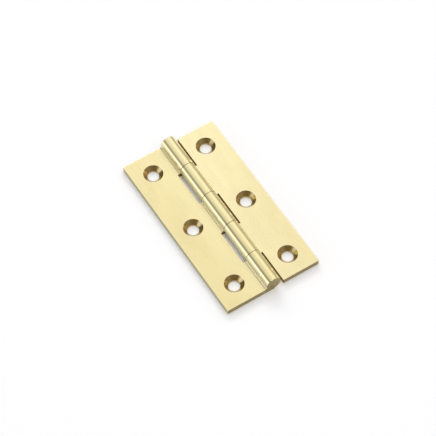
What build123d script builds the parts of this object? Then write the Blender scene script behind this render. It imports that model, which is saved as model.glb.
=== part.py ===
from build123d import *
import os
from math import radians, sqrt, tan

os.makedirs("parts", exist_ok=True)

# A cabinet butt hinge in solid drawn brass, lying open and flat. The pin runs along Y through the
# middle of the barrel. The backs of both leaves are on z = 0, and the knuckles stand up above the
# countersunk faces. All sizes are in millimetres.

# Leaves: each is one drawn section, a flat plate with the barrel along its inner edge
hinge_length = 76.0
leaf_width = 20.5            # from the pin's axis to the free edge
leaf_thickness = 2.4
corner_radius = 0.4          # the four free corners, seen from above
edge_break = 0.15            # rounding left by polishing on the outer edges

# Barrel: it stands forward of the leaves, so that closed leaves lie parallel with a gap
barrel_radius = 3.15
barrel_lift = 0.65           # the barrel's underside above the leaves' backs
root_radius = 0.8            # the hollow between a countersunk face and its own knuckles
heel_reach = 0.6             # how far a leaf's back runs past the pin's axis under its knuckles
heel_radius = 0.5

# Knuckles: five along the barrel, one, three and five on one leaf, two and four on the other
end_knuckle_length = 14.5
centre_knuckle_length = 15.5
knuckle_gap = 0.18           # end play between neighbouring knuckles
paired_clearance = 1.2       # between the two notches and the knuckles that turn in them
alternate_clearance = 1.35   # the same for the middle and end notches of the other leaf

# Pin: tight in the leaf with three knuckles, free to turn in the other, its ends flush
pin_radius = 1.6
pin_clearance = 0.05
pin_end_chamfer = 0.12

# Screw holes: a row along each leaf, countersunk from the front
screw_hole_radius = 2.35
countersink_radius = 3.95
countersink_angle = 90.0
screw_row = 12.0             # from the pin's axis
screw_end = 8.8              # from a leaf's end to its nearest screw
screw_count = 3

axis_height = barrel_lift + barrel_radius
axis_rise = axis_height - leaf_thickness
screw_pitch = (hinge_length - 2 * screw_end) / (screw_count - 1)
outer_joint = hinge_length / 2 - end_knuckle_length - knuckle_gap / 2
inner_joint = (centre_knuckle_length + knuckle_gap) / 2


def leaf_section():
    """The drawn section of a leaf on the +X side: plate, heel, hollow root and round barrel."""
    plate = Pos((leaf_width - heel_reach) / 2, leaf_thickness / 2) * Rectangle(
        leaf_width + heel_reach, leaf_thickness)
    heel_corner = plate.vertices().sort_by(Axis.X)[:2].sort_by(Axis.Y)[0]
    plate = fillet(heel_corner, heel_radius)
    root_run = sqrt((barrel_radius + root_radius) ** 2 - (root_radius - axis_rise) ** 2)
    root_top = axis_height + (root_radius - axis_rise) * barrel_radius / (barrel_radius + root_radius)
    web = Pos(root_run / 2, (leaf_thickness / 2 + root_top) / 2) * Rectangle(
        root_run, root_top - leaf_thickness / 2)
    hollow = Pos(root_run, leaf_thickness + root_radius) * Circle(root_radius)
    barrel = Pos(0, axis_height) * Circle(barrel_radius)
    return plate + barrel + (web - hollow)


def between(low, high, clearance):
    """A block that cuts the barrel and its notch away from y = low to y = high."""
    notch_wall = barrel_radius + clearance
    reach = barrel_radius + notch_wall + knuckle_gap
    return Pos(notch_wall - reach / 2, (low + high) / 2, axis_height) * Box(
        reach, high - low, 4 * axis_height)


def screw_hole(y):
    """A through hole with its countersink, opening at the front face."""
    sink_depth = (countersink_radius - screw_hole_radius) / tan(radians(countersink_angle / 2))
    bore = Cylinder(screw_hole_radius, 2 * leaf_thickness)
    sink = Pos(0, 0, leaf_thickness - sink_depth / 2) * Cone(
        screw_hole_radius, countersink_radius, sink_depth)
    return Pos(screw_row, y) * (bore + sink)


def pin_bore(radius):
    """The hole for the pin, all along the barrel."""
    return Pos(0, 0, axis_height) * Rot(90, 0, 0) * Cylinder(radius, 2 * hinge_length)


def leaf(notches, clearance, bore_radius):
    """A whole leaf on the +X side, with the given stretches of its barrel cut away."""
    section = Plane.XZ * leaf_section()
    body = extrude(section, hinge_length / 2, both=True)
    free_corners = body.edges().filter_by(Axis.Z).group_by(Axis.X)[-1]
    body = fillet(free_corners, corner_radius)
    outer_edges = [edge for edge in body.faces().sort_by(Axis.Y)[0].edges()]
    outer_edges += [edge for edge in body.faces().sort_by(Axis.Y)[-1].edges()]
    body = fillet(outer_edges, edge_break)
    for low, high in notches:
        body -= between(low, high, clearance)
    body -= pin_bore(bore_radius)
    for row in range(screw_count):
        body -= screw_hole((row - (screw_count - 1) / 2) * screw_pitch)
    return body


half_gap = knuckle_gap / 2
past_end = hinge_length / 2 + alternate_clearance
paired = [(-outer_joint - half_gap, -inner_joint + half_gap),
          (inner_joint - half_gap, outer_joint + half_gap)]
alternate = [(-past_end, -outer_joint + half_gap), (-inner_joint - half_gap, inner_joint + half_gap),
             (outer_joint - half_gap, past_end)]

three_knuckle_leaf = Rot(0, 0, 180) * leaf(paired, paired_clearance, pin_radius)
two_knuckle_leaf = leaf(alternate, alternate_clearance, pin_radius + pin_clearance)

pin = Cylinder(pin_radius, hinge_length)
pin = chamfer(pin.edges(), pin_end_chamfer)
hinge_pin = Pos(0, 0, axis_height) * Rot(90, 0, 0) * pin

export_step(three_knuckle_leaf, "parts/three_knuckle_leaf.step")
export_step(two_knuckle_leaf, "parts/two_knuckle_leaf.step")
export_step(hinge_pin, "parts/hinge_pin.step")
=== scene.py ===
from math import cos, pi, radians, sin

import bmesh
import bpy
from mathutils import Matrix, Vector


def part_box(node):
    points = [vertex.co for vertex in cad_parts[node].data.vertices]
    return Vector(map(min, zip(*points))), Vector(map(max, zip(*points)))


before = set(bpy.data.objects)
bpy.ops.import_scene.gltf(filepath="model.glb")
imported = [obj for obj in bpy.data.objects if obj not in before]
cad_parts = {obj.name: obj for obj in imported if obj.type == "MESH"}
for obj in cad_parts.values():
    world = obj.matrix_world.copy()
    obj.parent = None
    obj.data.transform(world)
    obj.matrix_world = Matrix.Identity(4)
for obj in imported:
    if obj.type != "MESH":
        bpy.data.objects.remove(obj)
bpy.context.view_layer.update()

# The camera stands where the photograph was taken from: well above the hinge, off its near end and
# to the left, on a long lens.
image_side = 436
view_azimuth = radians(-31.518)
view_elevation = radians(58.132)
view_roll = radians(-0.920)
view_distance = 0.826806
focal_pixels = 2159.92
leaf_face = 0.0024
view_target = Vector((-0.001652, -0.001448, leaf_face))

view_back = Vector((sin(view_azimuth) * cos(view_elevation),
                    -cos(view_azimuth) * cos(view_elevation),
                    sin(view_elevation)))
view_right = Vector((cos(view_azimuth), sin(view_azimuth), 0.0))
view_up = view_back.cross(view_right)
rolled_right = view_right * cos(view_roll) + view_up * sin(view_roll)
rolled_up = view_up * cos(view_roll) - view_right * sin(view_roll)

camera_data = bpy.data.cameras.new("photo_camera")
camera_data.sensor_width = 36.0
camera_data.lens = camera_data.sensor_width * focal_pixels / image_side
camera_data.clip_start = 0.01
camera_data.clip_end = 10.0
camera = bpy.data.objects.new("photo_camera", camera_data)
camera.matrix_world = Matrix.Translation(view_target + view_back * view_distance) @ Matrix(
    (rolled_right, rolled_up, view_back)).transposed().to_4x4()
bpy.context.scene.collection.objects.link(camera)
bpy.context.scene.camera = camera
bpy.context.scene.view_settings.view_transform = "Standard"


# The floor is a sheet of white card, rolled out under the hinge. It looks pure white to the camera
# and in the brass, and it keeps the hinge's soft shadow.
class Signal:
    """One output of a node, on which arithmetic can be written as it is on a number."""

    def __init__(self, tree, socket):
        self.tree = tree
        self.socket = socket

    def node(self, kind, settings, values, output=0):
        """Adds a node to the same tree: its settings first, then its sockets' values or links."""
        made = self.tree.nodes.new(kind)
        for name, value in settings.items():
            setattr(made, name, value)
        for name, value in values.items():
            if isinstance(value, Signal):
                self.tree.links.new(value.socket, made.inputs[name])
            else:
                made.inputs[name].default_value = value
        return Signal(self.tree, made.outputs[output])

    def maths(self, operation, first, second=0.0):
        return self.node("ShaderNodeMath", {"operation": operation}, {0: first, 1: second})

    def __add__(self, other):
        return self.maths("ADD", self, other)

    def __radd__(self, other):
        return self.maths("ADD", other, self)

    def __sub__(self, other):
        return self.maths("SUBTRACT", self, other)

    def __rsub__(self, other):
        return self.maths("SUBTRACT", other, self)

    def __mul__(self, other):
        return self.maths("MULTIPLY", self, other)

    def __rmul__(self, other):
        return self.maths("MULTIPLY", other, self)

    def __pow__(self, other):
        return self.maths("POWER", self, other)

    def __abs__(self):
        return self.maths("ABSOLUTE", self)

    def larger(self, other):
        return self.maths("MAXIMUM", self, other)

    def rise(self, low, high):
        """0 below low, 1 above high, and a smooth slope between them."""
        return self.node("ShaderNodeMapRange", {"interpolation_type": "SMOOTHSTEP"},
                         {"Value": self, "From Min": low, "From Max": high})

    def blend(self, first, second):
        """A colour that goes from the first to the second as this signal goes from 0 to 1."""
        return self.node("ShaderNodeMix", {"data_type": "RGBA"},
                         {"Factor": self, 6: first, 7: second}, output=2)

    def scaled(self, scale):
        """A point or a colour with each of its three values times the scale."""
        return self.node("ShaderNodeVectorMath", {"operation": "SCALE"}, {0: self, "Scale": scale})

    def along(self, axis):
        """The X, Y or Z of a point."""
        return self.node("ShaderNodeSeparateXYZ", {}, {0: self}, output=axis)

    def streaks(self, in_x, in_y, in_z, detail=2.0):
        """Noise from 0 to 1 in a point, with this many marks to a millimetre along each axis."""
        drawn = self.node("ShaderNodeVectorMath", {"operation": "MULTIPLY"},
                          {0: self, 1: (in_x, in_y, in_z)})
        return drawn.node("ShaderNodeTexNoise", {}, {"Vector": drawn, "Scale": 1.0, "Detail": detail})

    def lines(self, in_each, detail=1.0):
        """Noise from 0 to 1 in one length, with this many marks to a millimetre."""
        return self.node("ShaderNodeTexNoise", {"noise_dimensions": "1D"},
                         {"W": self, "Scale": in_each, "Detail": detail})

    def feed(self, socket):
        self.tree.links.new(self.socket, socket)

    def feed_bump(self, socket):
        """Feeds a normal socket with this relief, whose unit is a thousandth of a millimetre."""
        bump = self.node("ShaderNodeBump", {}, {"Strength": 1.0, "Distance": 0.000001, "Height": self})
        bump.feed(socket)


def new_finish(name):
    """A new material, with its nodes and its shader."""
    material = bpy.data.materials.new(name)
    material.use_nodes = True
    return material, material.node_tree, material.node_tree.nodes["Principled BSDF"]


floor_side = 3.0
card_white = (0.985, 0.98, 0.965, 1.0)
card_glow = 0.10

floor_mesh = bpy.data.meshes.new("floor")
floor_form = bmesh.new()
bmesh.ops.create_grid(floor_form, x_segments=1, y_segments=1, size=floor_side / 2)
floor_form.to_mesh(floor_mesh)
floor_form.free()
floor = bpy.data.objects.new("floor", floor_mesh)
bpy.context.scene.collection.objects.link(floor)

floor_card, floor_nodes, floor_shader = new_finish("floor_card")
floor_shader.inputs["Base Color"].default_value = card_white
floor_shader.inputs["Roughness"].default_value = 1.0
floor_shader.inputs["Specular IOR Level"].default_value = 0.0
floor_shader.inputs["Emission Color"].default_value = (1.0, 1.0, 1.0, 1.0)
ray = floor_nodes.nodes.new("ShaderNodeLightPath")
seen = Signal(floor_nodes, ray.outputs["Is Camera Ray"])
seen = seen.larger(Signal(floor_nodes, ray.outputs["Is Glossy Ray"]))
(seen * card_glow).feed(floor_shader.inputs["Emission Strength"])
floor_mesh.materials.append(floor_card)

# The light is a white tent, darker on the left, with a daylight window low on that side, a blue-grey
# band across its far end and a dim brown near side. One lamp hangs high over the hinge, a little to
# the near side, and one stands behind it, a little to the right.
roof_level = 0.84
left_loss = 0.50
right_gain = 0.27
far_gain = 0.13
low_right_loss = 0.62
front_level = 0.95
front_right_gain = 0.30
near_side_loss = 0.50
left_panel_loss = 0.70
far_band_loss = 0.45
far_top_gain = 0.12
low_far_loss = 0.80
tent_white = (0.99, 0.99, 1.0, 1.0)
far_band_blue = (1.0, 1.06, 1.24, 1.0)
window_blue = (1.45, 1.58, 2.00, 1.0)
near_left_brown = (0.25, 0.185, 0.09, 1.0)
near_right_brown = (0.38, 0.32, 0.24, 1.0)

studio = bpy.data.worlds.new("studio")
studio.use_nodes = True
studio_nodes = studio.node_tree
studio_point = studio_nodes.nodes.new("ShaderNodeTexCoord")
heading = Signal(studio_nodes, studio_point.outputs["Generated"])
heading_x = heading.along("X")
heading_y = heading.along("Y")
heading_z = heading.along("Z")

# The roof: the whole of it, its near half, a panel high on the left, and its far end
left_side = 1 - heading_x.rise(-0.64, -0.26)
right_half = heading_x.rise(-0.15, 0.55)
low_right = heading_x.rise(-0.10, 0.30) * (1 - heading_z.rise(0.10, 0.75))
far_side = heading_y.rise(0.30, 0.60)
roof = roof_level - left_side * left_loss + right_half * right_gain + far_side * far_gain
roof = roof * (1 - low_right * low_right_loss)

front = 1 - heading_y.rise(0.10, 0.34)
near_side = 1 - heading_y.rise(-0.45, 0.0)
front_roof = front_level + right_half * front_right_gain - near_side * near_side_loss
roof = roof * (1 - front) + front_roof * front

left_panel = (1 - heading_x.rise(-0.36, -0.16)) * (1 - heading_y.rise(0.20, 0.40))
left_panel = left_panel * heading_z.rise(0.45, 0.65)
roof = roof * (1 - left_panel * left_panel_loss)

far_band = heading_y.rise(0.56, 0.66) * (1 - heading_y.rise(0.76, 0.86))
far_top = heading_y.rise(0.76, 0.88) * heading_z.rise(0.15, 0.30)
low_far = heading_y.rise(0.50, 0.66) * (1 - heading_z.rise(0.15, 0.35))
roof = roof * (1 - far_band * far_band_loss) + far_top * far_top_gain
roof = roof * (1 - low_far * low_far_loss)
blue_band = heading_y.rise(0.36, 0.60) * (1 - heading_y.rise(0.70, 0.80))
sky = blue_band.blend(tent_white, far_band_blue).scaled(roof)

# The window and the dim near side
window = (1 - heading_x.rise(-0.86, -0.74)) * (1 - heading_z.rise(0.34, 0.56))
window = window * heading_y.rise(-0.15, 0.10) * (1 - heading_y.rise(0.56, 0.72))
sky = window.blend(sky, window_blue)
dim_side = (1 - heading_y.rise(-0.25, 0.05)) * (1 - heading_z.rise(0.54, 0.64))
dim_side = dim_side * heading_z.rise(0.28, 0.36).larger(heading_x.rise(0.35, 0.60))
dim_colour = heading_x.rise(-0.05, 0.30).blend(near_left_brown, near_right_brown)
sky = dim_side.blend(sky, dim_colour)
sky.feed(studio_nodes.nodes["Background"].inputs["Color"])
bpy.context.scene.world = studio

lamp_distance = 1.4
for lamp_name, lamp_heading, lamp_width, lamp_height, lamp_glow in (
        ("back_lamp", Vector((0.32, 0.76, 0.57)), 0.85, 0.34, 4.8),
        ("top_lamp", Vector((-0.09, -0.28, 0.955)), 0.26, 0.40, 9.5)):
    lamp_data = bpy.data.lights.new(lamp_name, "AREA")
    lamp_data.shape = "RECTANGLE"
    lamp_data.size = lamp_width
    lamp_data.size_y = lamp_height
    lamp_data.energy = lamp_glow * pi * lamp_width * lamp_height
    lamp = bpy.data.objects.new(lamp_name, lamp_data)
    lamp.location = lamp_heading.normalized() * lamp_distance
    lamp.rotation_mode = "QUATERNION"
    lamp.rotation_quaternion = lamp_heading.to_track_quat("Z", "Y")
    bpy.context.scene.collection.objects.link(lamp)

# The left leaf is one length of drawn brass, its plate and three knuckles in one piece, linished along
# its face and polished round its barrel. Its ends and edge are coloured dark as painted shade, its
# screw holes are coloured darker partly for their turned finish and partly as painted shade, and the
# walls of its two notches are filed bright.
to_millimetres = 1000.0
leaf_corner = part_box("two_knuckle_leaf")[1] * to_millimetres
leaf_reach = leaf_corner.x
leaf_half_length = leaf_corner.y
face_height = leaf_face * to_millimetres
barrel_radius = 3.15
end_knuckle = 14.5
centre_knuckle = 15.5
knuckle_gap = 0.18
outer_joint = leaf_half_length - end_knuckle - knuckle_gap / 2
inner_joint = (centre_knuckle + knuckle_gap) / 2
paired_clearance = 1.2
screw_row = 12.0
screw_end = 8.8
screw_pitch = leaf_half_length - screw_end
sink_radius = 3.95
bore_radius = 2.35
sink_foot = face_height - (sink_radius - bore_radius)
face_roughness = 0.25

polished_brass = (0.90, 0.775, 0.40, 1.0)
painted_near_sheen_brass = (1.0, 0.97, 0.78, 1.0)
painted_hollow_shade_brass = (0.68, 0.575, 0.28, 1.0)
painted_near_hollow_shade_brass = (0.75, 0.65, 0.33, 1.0)
painted_edge_shade_brass = (0.52, 0.47, 0.27, 1.0)
painted_end_shade_brass = (0.29, 0.245, 0.11, 1.0)
turned_brass = (0.62, 0.48, 0.22, 1.0)
painted_under_shade_brass = (0.78, 0.655, 0.335, 1.0)
dull_brass = (0.50, 0.38, 0.17, 1.0)
dark_joint_and_shade_brass = (0.12, 0.08, 0.02, 1.0)
rubbed_and_sheen_brass = (0.96, 0.88, 0.58, 1.0)


def point_on_piece(nodes):
    """Where a point of a piece lies, in millimetres."""
    place = Signal(nodes, nodes.nodes.new("ShaderNodeTexCoord").outputs["Object"])
    return place.scaled(to_millimetres)


def dress(piece, finish):
    """Gives a piece the same finish all over."""
    for slot in piece.material_slots:
        slot.material = finish


def leaf_brass(name, linished_brass, barrel_side_brass, notch_clearance, wall_brass_and_shade, wall_roughness,
               wall_metal):
    """The brass of one leaf, with each finish, painted shade and painted sheen where the leaf has it.
    Lengths are in millimetres.
    """
    material, nodes, shader = new_finish(name)
    point = point_on_piece(nodes)
    along_x = point.along("X")
    along_y = point.along("Y")
    height = point.along("Z")
    across = abs(along_x)
    from_middle = abs(along_y)

    hole_y = abs(from_middle - screw_pitch / 2) - screw_pitch / 2
    hole_x = across - screw_row
    from_screw = (hole_x * hole_x + hole_y * hole_y) ** 0.5
    from_paired_knuckle = abs(from_middle - (outer_joint + inner_joint) / 2)
    from_joint = abs(from_paired_knuckle - (outer_joint - inner_joint) / 2)

    # Where each finish, and each painted shade and sheen, lies
    notch_wall = barrel_radius + notch_clearance
    plate = across.rise(barrel_radius - 0.02, barrel_radius + 0.05)
    proud = height.rise(face_height + 0.02, face_height + 0.10)
    # The barrel's left flank, which gets a painted sheen
    sheen_flank = (0 - along_x).rise(barrel_radius - 0.45, barrel_radius - 0.15)
    sheen_flank = sheen_flank * height.rise(face_height + 0.2, face_height + 0.8) * (1 - plate)
    # The barrel below the face, which gets a painted shade
    under = (1 - plate) * (1 - height.rise(face_height + 0.1, face_height + 0.7))
    # The root hollows, which get a painted shade
    hollow = plate * proud
    sink = 1 - from_screw.rise(sink_radius - 0.06, sink_radius + 0.02)
    sink = sink * height.rise(sink_foot - 0.3, sink_foot - 0.1)
    bore = 1 - from_screw.rise(bore_radius + 0.02, bore_radius + 0.06)
    bore = bore * (1 - height.rise(sink_foot - 0.1, sink_foot))
    end = from_middle.rise(leaf_half_length - 0.14, leaf_half_length - 0.06)
    side = across.rise(leaf_reach - 0.14, leaf_reach - 0.06)
    below = 1 - height.rise(face_height - 0.12, face_height - 0.02)
    in_notch = 1 - across.rise(notch_wall + 0.01, notch_wall + 0.05)
    wall = across.rise(notch_wall - 0.10, notch_wall - 0.05) * in_notch * below
    # The pockets at the ends of the notches, which get a painted shade
    pocket_shade = (1 - from_joint.rise(0.10, 0.16)) * in_notch
    back = 1 - height.rise(0.01, 0.06)

    # The marks of linishing, drawing, sawing and turning, and the clouds that handling leaves
    hairlines = point.streaks(7.0, 0.12, 7.0)
    draw_lines = point.streaks(1.3, 0.03, 1.3)
    clouds = point.streaks(0.16, 0.07, 0.16, 3.0)
    saw_marks = point.streaks(0.4, 6.0, 8.0)
    rings = from_screw.lines(9.0)
    bore_rings = height.lines(6.0)

    # The face and the barrel. The root hollows are painted darker as painted shade, the barrel's left
    # flank paler and less metallic as a painted sheen, and both are painted brighter towards the near
    # end as painted light. The barrel below the face is painted darker as painted shade.
    tarnish = clouds.rise(0.35, 0.75) * 0.16
    from_barrel = across.rise(barrel_radius + 1.85, leaf_reach - 3.5)
    face_brass = from_barrel.blend(barrel_side_brass, linished_brass)
    colour = proud.blend(tarnish.blend(face_brass, dull_brass), polished_brass)
    # Painted light: the hollows and the flank are painted brighter towards the near end.
    near_end_painted_light = 1 - along_y.rise(2.0 - leaf_half_length, leaf_half_length - 8.0)
    colour = hollow.blend(colour, near_end_painted_light.blend(painted_hollow_shade_brass, painted_near_hollow_shade_brass))
    colour = sheen_flank.blend(colour, near_end_painted_light.blend(rubbed_and_sheen_brass, painted_near_sheen_brass))
    # Painted shade under the barrel
    colour = under.blend(colour, painted_under_shade_brass)
    colour = back.blend(colour, dull_brass)

    # The holes, the edges and the joints between the knuckles
    # The countersinks are coloured darker than the face, and darker still towards the bore: partly
    # their turned finish, partly painted shade.
    sink_colour = (rings * 0.6).blend(turned_brass, dull_brass)
    sink_colour = (1 - from_screw.rise(bore_radius, bore_radius + 0.5)).blend(sink_colour, dull_brass)
    colour = sink.blend(colour, sink_colour)
    # The long edge is painted dark: painted shade.
    colour = side.blend(colour, painted_edge_shade_brass)
    # The ends are painted dark: painted shade.
    colour = end.blend(colour, (saw_marks * 0.5).blend(painted_end_shade_brass, dull_brass))
    # The notch walls: filed bright on the left leaf, painted dark as painted shade on the right leaf.
    colour = wall.blend(colour, wall_brass_and_shade)
    colour = bore.blend(colour, dull_brass)
    # The pockets are painted near black: painted shade.
    colour = (pocket_shade * below * height.rise(0.5, 1.0)).blend(colour, dark_joint_and_shade_brass)
    gap = (1 - from_joint.rise(0.09, 0.16)) * proud * (1 - sheen_flank)
    colour = (gap * 0.3).blend(colour, dark_joint_and_shade_brass)
    grain = ((hairlines - 0.5) * 0.10 + (draw_lines - 0.5) * 0.10 + 0.05).larger(0.0)
    colour = grain.blend(colour, dull_brass)

    # A bright line where the rims of the holes and the edges of the face are rubbed
    rim = from_screw.rise(sink_radius - 0.02, sink_radius + 0.02) * (
        1 - from_screw.rise(sink_radius + 0.06, sink_radius + 0.18))
    rim = rim.larger(across.rise(leaf_reach - 0.32, leaf_reach - 0.18) * (1 - side))
    rim = rim.larger(from_middle.rise(leaf_half_length - 0.30, leaf_half_length - 0.18) * (1 - end))
    rim = rim * height.rise(face_height - 0.2, face_height - 0.1)
    colour = (rim * (0.3 + clouds * 0.6)).blend(colour, rubbed_and_sheen_brass)
    colour.feed(shader.inputs["Base Color"])

    # The painted sheen on the flank also makes it less metallic, more so towards the near end.
    metal = (1 - sheen_flank * (0.40 + near_end_painted_light * 0.20)) * (1 - wall * (1 - wall_metal))
    metal.feed(shader.inputs["Metallic"])

    # Each finish is smoother or rougher than the linished face
    machined = end.larger(side).larger(wall).larger(bore)
    roughness = (face_roughness - proud * 0.13 + sheen_flank * 0.18 + hollow * 0.12 - sink * 0.03
                 + (machined - wall) * 0.15 + wall * wall_roughness + back * 0.12 + under * 0.10
                 + (hairlines - 0.5) * 0.10 + (draw_lines - 0.5) * 0.08 + (clouds - 0.5) * 0.08
                 + sink * (rings - 0.5) * 0.12)
    roughness.feed(shader.inputs["Roughness"])

    plain = (1 - sink.larger(bore)) * (1 - machined)
    relief = (plain * (hairlines * 0.5 + draw_lines * 0.8 + clouds * 4.0)
              + sink * rings * 0.8
              + bore * bore_rings * 2.0
              + end.larger(wall) * saw_marks * 1.5
              + side * draw_lines * 2.0)
    relief.feed_bump(shader.inputs["Normal"])
    return material


left_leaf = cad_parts["three_knuckle_leaf"]
left_finish = leaf_brass("left_leaf_brass",
                         linished_brass=(0.835, 0.71, 0.36, 1.0),
                         barrel_side_brass=(0.86, 0.74, 0.385, 1.0),
                         notch_clearance=paired_clearance,
                         wall_brass_and_shade=(0.94, 0.84, 0.54, 1.0),
                         wall_roughness=0.0,
                         wall_metal=1.0)
dress(left_leaf, left_finish)

# The right leaf is cut from the same drawn brass, and its two knuckles turn on the pin between the
# left leaf's three. Its face is coloured a little brighter as painted light, and the walls of its
# three notches are painted dark and dull as painted shade.
alternate_clearance = 1.35

right_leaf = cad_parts["two_knuckle_leaf"]
right_finish = leaf_brass("right_leaf_brass",
                          # The right leaf's face colours are brighter than the left leaf's: painted
                          # light.
                          linished_brass=(0.865, 0.748, 0.40, 1.0),
                          barrel_side_brass=(0.885, 0.778, 0.43, 1.0),
                          notch_clearance=alternate_clearance,
                          # The dark notch walls are painted shade.
                          wall_brass_and_shade=(0.26, 0.13, 0.006, 1.0),
                          wall_roughness=0.50,
                          wall_metal=0.15)
dress(right_leaf, right_finish)

# The pin is one brass rod down the whole barrel, tight in the left leaf's knuckles. Its ends are
# faced off in a lathe and filed flush with the barrel, so only two turned discs show.
pin_radius = 1.6
barrel_lift = 0.65
axis_height = barrel_lift + barrel_radius

hinge_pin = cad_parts["hinge_pin"]
pin_finish, pin_nodes, pin_shader = new_finish("pin_brass")
pin_point = point_on_piece(pin_nodes)
pin_x = pin_point.along("X")
pin_y = pin_point.along("Y")
pin_z = pin_point.along("Z") - axis_height
from_axis = (pin_x * pin_x + pin_z * pin_z) ** 0.5

pin_face = abs(pin_y).rise(leaf_half_length - 0.10, leaf_half_length - 0.04)
pin_rim = from_axis.rise(pin_radius - 0.22, pin_radius - 0.10)
tool_rings = from_axis.lines(7.0)
body_rings = pin_y.lines(5.0, 2.0)
file_marks = pin_point.streaks(0.5, 1.0, 6.0)
pin_clouds = pin_point.streaks(0.5, 0.5, 0.5, 3.0)
drawn_brass = (body_rings * 0.35 + pin_clouds * 0.25).blend(turned_brass, dull_brass)
# The faced ends of the pin take the same painted shade as the leaves' ends.
faced_brass = (tool_rings * 0.35 + file_marks * 0.35).blend(painted_end_shade_brass, dull_brass)
faced_brass = (pin_rim * 0.55).blend(faced_brass, dark_joint_and_shade_brass)
pin_face.blend(drawn_brass, faced_brass).feed(pin_shader.inputs["Base Color"])
pin_shader.inputs["Metallic"].default_value = 1.0
pin_roughness = (0.30 + pin_face * 0.10 + (tool_rings - 0.5) * pin_face * 0.15
                 + (pin_clouds - 0.5) * 0.10)
pin_roughness.feed(pin_shader.inputs["Roughness"])
pin_relief = pin_face * (tool_rings * 2.0 + file_marks * 1.5) + (1 - pin_face) * body_rings * 1.2
pin_relief.feed_bump(pin_shader.inputs["Normal"])
dress(hinge_pin, pin_finish)
